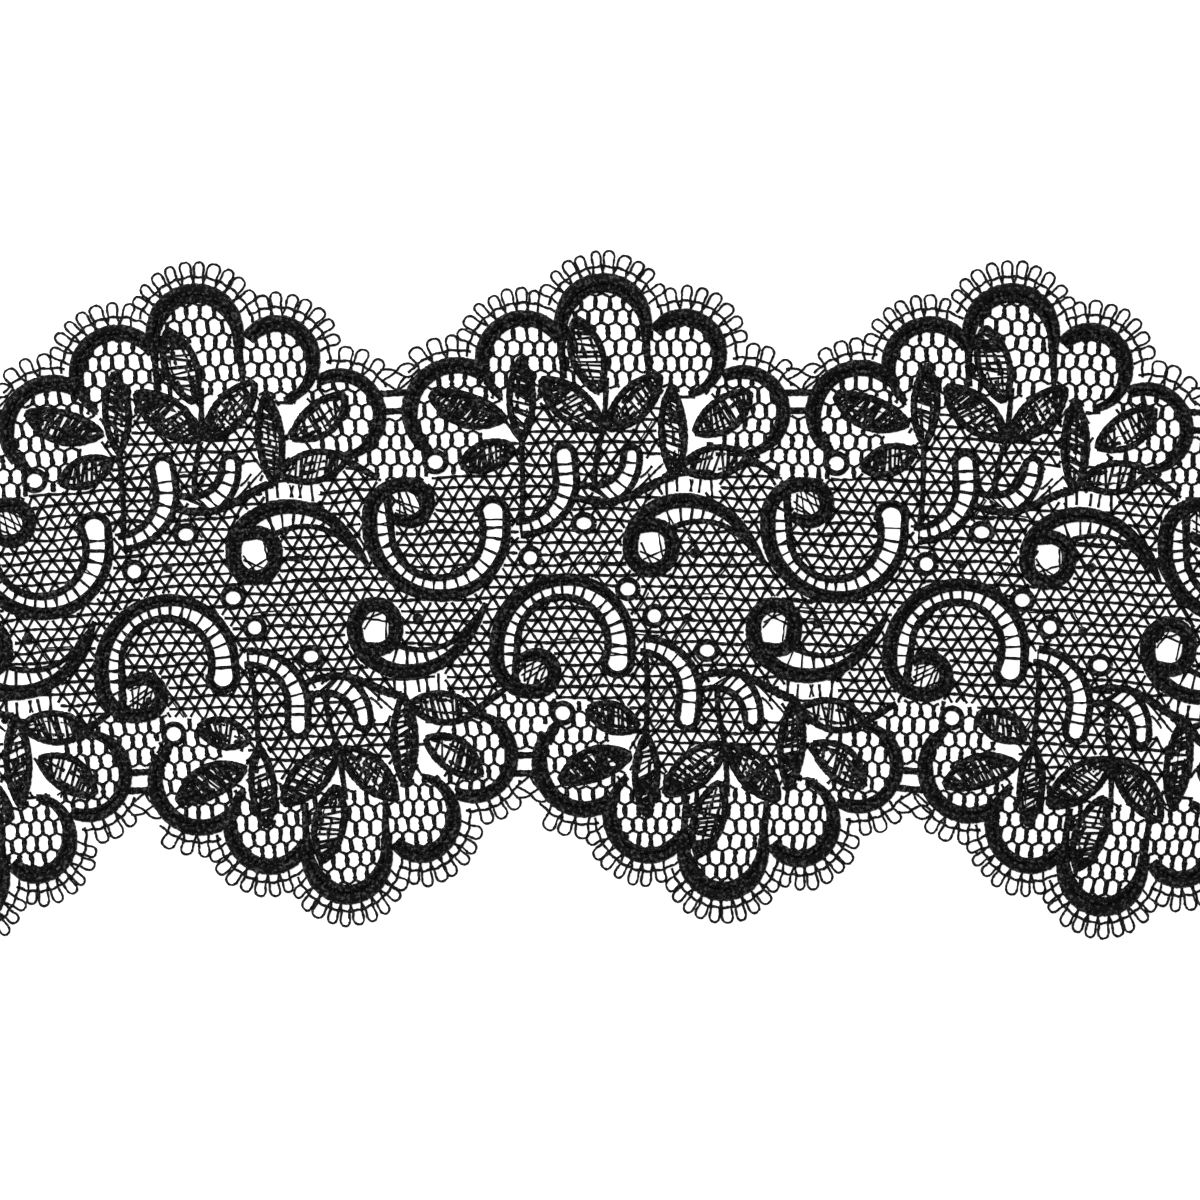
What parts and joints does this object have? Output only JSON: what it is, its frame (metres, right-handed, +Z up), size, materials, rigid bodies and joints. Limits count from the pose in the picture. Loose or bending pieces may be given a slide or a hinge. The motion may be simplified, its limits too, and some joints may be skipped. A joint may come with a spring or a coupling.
{
  "type": "cut length of guipure lace trim",
  "caption": "Flat length of wide black lace trim: scalloped edges with small loops, leaves, curled cords and rings on a fine net, cut straight at both ends.",
  "frame": {"origin": "under the middle of the trim's box, on the surface that it lies on", "axes": "+X along the trim, +Y across it, +Z up from the surface"},
  "size_m": [0.251, 0.1412, 0.0018],
  "materials": {
    "thread": "black embroidery thread with a slight satin sheen, matt where the threads are fine"
  },
  "bodies": {
    "root": {"lace": "thread"}
  },
  "joints": []
}
